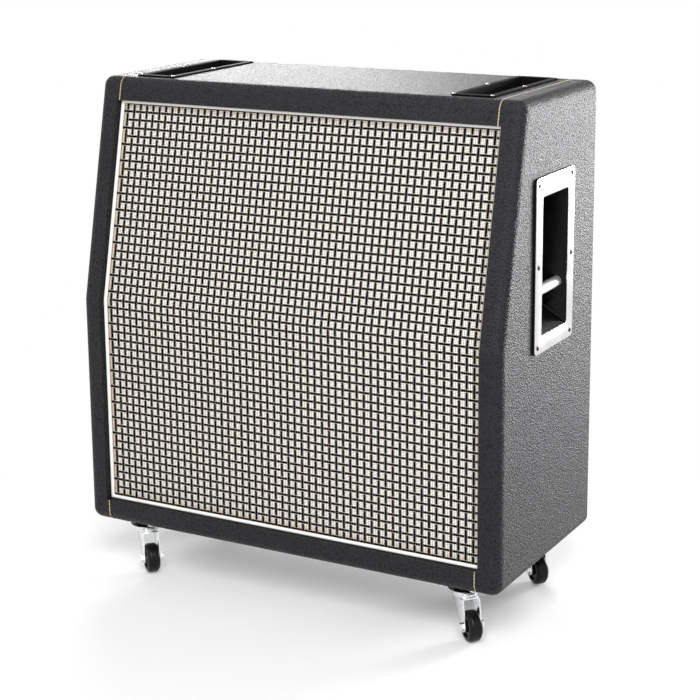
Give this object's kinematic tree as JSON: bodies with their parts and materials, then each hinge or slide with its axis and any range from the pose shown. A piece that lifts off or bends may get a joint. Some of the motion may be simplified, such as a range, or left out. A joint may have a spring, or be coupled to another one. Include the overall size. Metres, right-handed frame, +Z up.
{
  "type": "guitar speaker cabinet",
  "caption": "Angled-front guitar speaker cabinet in black vinyl with a woven grille, recessed side handles, top trays and swivel castors.",
  "frame": {"origin": "on the floor, under the middle of the box", "axes": "+Z up, front towards -Y, +X to the right of someone facing the front"},
  "size_m": [0.7822, 0.3655, 0.8511],
  "materials": {
    "plywood": "bare birch plywood",
    "stained_plywood": "black-stained birch plywood",
    "covered_board": "board wrapped in pebble-grain vinyl",
    "covering": "pebble-grain vinyl",
    "gilt_cord": "gilt plastic cord",
    "grille_cloth": "black and cream basket weave",
    "piping": "white plastic bead",
    "black_screw": "black steel",
    "bright_screw": "bright steel",
    "moulded_black": "moulded black plastic",
    "nickel": "nickel-plated brass",
    "basket_steel": "black pressed steel",
    "cone_paper": "pressed paper pulp",
    "doped_cloth": "doped cloth",
    "ferrite": "ferrite ring and steel plates",
    "cable": "flexible cable",
    "bright_plate": "bright plated steel",
    "zinc": "bright zinc-plated steel",
    "rubber": "black rubber",
    "black_steel": "black steel"
  },
  "bodies": {
    "cabinet": {"top_panel": "plywood", "bottom_panel": "plywood", "left_panel": "plywood", "right_panel": "plywood", "front_frame": "plywood", "baffle_brace": "plywood", "centre_post": "plywood", "rear_battens": "plywood", "baffle_lower": "stained_plywood", "baffle_upper": "stained_plywood", "rear_panel": "covered_board", "covering_top": "covering", "covering_bottom": "covering", "covering_left": "covering", "covering_right": "covering", "seam_cords": "gilt_cord", "grille_cloth": "grille_cloth", "grille_piping": "piping", "rear_panel_screws": "black_screw", "jack_dish": "moulded_black", "jack_socket": "nickel", "speaker_basket_upper_left": "basket_steel", "speaker_suspension_upper_left": "doped_cloth", "speaker_basket_upper_right": "basket_steel", "speaker_suspension_upper_right": "doped_cloth", "speaker_basket_lower_left": "basket_steel", "speaker_suspension_lower_left": "doped_cloth", "speaker_basket_lower_right": "basket_steel", "speaker_suspension_lower_right": "doped_cloth", "speaker_magnets": "ferrite", "speaker_bolts": "black_screw", "wiring": "cable", "handle_cup_left": "moulded_black", "handle_plate_left": "bright_plate", "grip_bar_left": "bright_plate", "tray_left": "moulded_black", "handle_cup_right": "moulded_black", "handle_plate_right": "bright_plate", "grip_bar_right": "bright_plate", "tray_right": "moulded_black", "handle_screws": "bright_screw", "tray_screws": "bright_screw", "castor_plates": "black_steel", "castor_screws": "black_screw"},
    "fork_front_left": {"castor_fork_front_left": "zinc", "castor_axle_front_left": "zinc"},
    "wheel_front_left": {"castor_wheel_front_left": "rubber"},
    "fork_front_right": {"castor_fork_front_right": "zinc", "castor_axle_front_right": "zinc"},
    "wheel_front_right": {"castor_wheel_front_right": "rubber"},
    "fork_rear_left": {"castor_fork_rear_left": "zinc", "castor_axle_rear_left": "zinc"},
    "wheel_rear_left": {"castor_wheel_rear_left": "rubber"},
    "fork_rear_right": {"castor_fork_rear_right": "zinc", "castor_axle_rear_right": "zinc"},
    "wheel_rear_right": {"castor_wheel_rear_right": "rubber"},
    "cone_upper_left": {"speaker_cone_upper_left": "cone_paper"},
    "cone_upper_right": {"speaker_cone_upper_right": "cone_paper"},
    "cone_lower_left": {"speaker_cone_lower_left": "cone_paper"},
    "cone_lower_right": {"speaker_cone_lower_right": "cone_paper"}
  },
  "joints": [
    {"name": "swivel_front_left", "type": "hinge", "parent": "cabinet", "child": "fork_front_left", "pos_m": [-0.304, -0.1305, 0.0775], "axis": [0, 0, 1], "continuous": true},
    {"name": "roll_front_left", "type": "hinge", "parent": "fork_front_left", "child": "wheel_front_left", "pos_m": [-0.28393, -0.14857, 0.025], "axis": [0.6691, 0.7431, 0], "continuous": true},
    {"name": "swivel_front_right", "type": "hinge", "parent": "cabinet", "child": "fork_front_right", "pos_m": [0.304, -0.1305, 0.0775], "axis": [0, 0, 1], "continuous": true},
    {"name": "roll_front_right", "type": "hinge", "parent": "fork_front_right", "child": "wheel_front_right", "pos_m": [0.32406, -0.14857, 0.025], "axis": [0.6691, 0.7431, 0], "continuous": true},
    {"name": "swivel_rear_left", "type": "hinge", "parent": "cabinet", "child": "fork_rear_left", "pos_m": [-0.304, 0.1305, 0.0775], "axis": [0, 0, 1], "continuous": true},
    {"name": "roll_rear_left", "type": "hinge", "parent": "fork_rear_left", "child": "wheel_rear_left", "pos_m": [-0.28393, 0.11243, 0.025], "axis": [0.6691, 0.7431, 0], "continuous": true},
    {"name": "swivel_rear_right", "type": "hinge", "parent": "cabinet", "child": "fork_rear_right", "pos_m": [0.304, 0.1305, 0.0775], "axis": [0, 0, 1], "continuous": true},
    {"name": "roll_rear_right", "type": "hinge", "parent": "fork_rear_right", "child": "wheel_rear_right", "pos_m": [0.32406, 0.11243, 0.025], "axis": [0.6691, 0.7431, 0], "continuous": true},
    {"name": "cone_travel_upper_left", "type": "slide", "parent": "cabinet", "child": "cone_upper_left", "axis": [0, 0.9771, -0.213], "range_m": [-0.002, 0.002], "stiffness_N_per_m": 7300, "deforming": ["speaker_suspension_upper_left"]},
    {"name": "cone_travel_upper_right", "type": "slide", "parent": "cabinet", "child": "cone_upper_right", "axis": [0, 0.9771, -0.213], "range_m": [-0.002, 0.002], "stiffness_N_per_m": 7300, "deforming": ["speaker_suspension_upper_right"]},
    {"name": "cone_travel_lower_left", "type": "slide", "parent": "cabinet", "child": "cone_lower_left", "axis": [0, 1, 0], "range_m": [-0.002, 0.002], "stiffness_N_per_m": 7300, "deforming": ["speaker_suspension_lower_left"]},
    {"name": "cone_travel_lower_right", "type": "slide", "parent": "cabinet", "child": "cone_lower_right", "axis": [0, 1, 0], "range_m": [-0.002, 0.002], "stiffness_N_per_m": 7300, "deforming": ["speaker_suspension_lower_right"]}
  ]
}
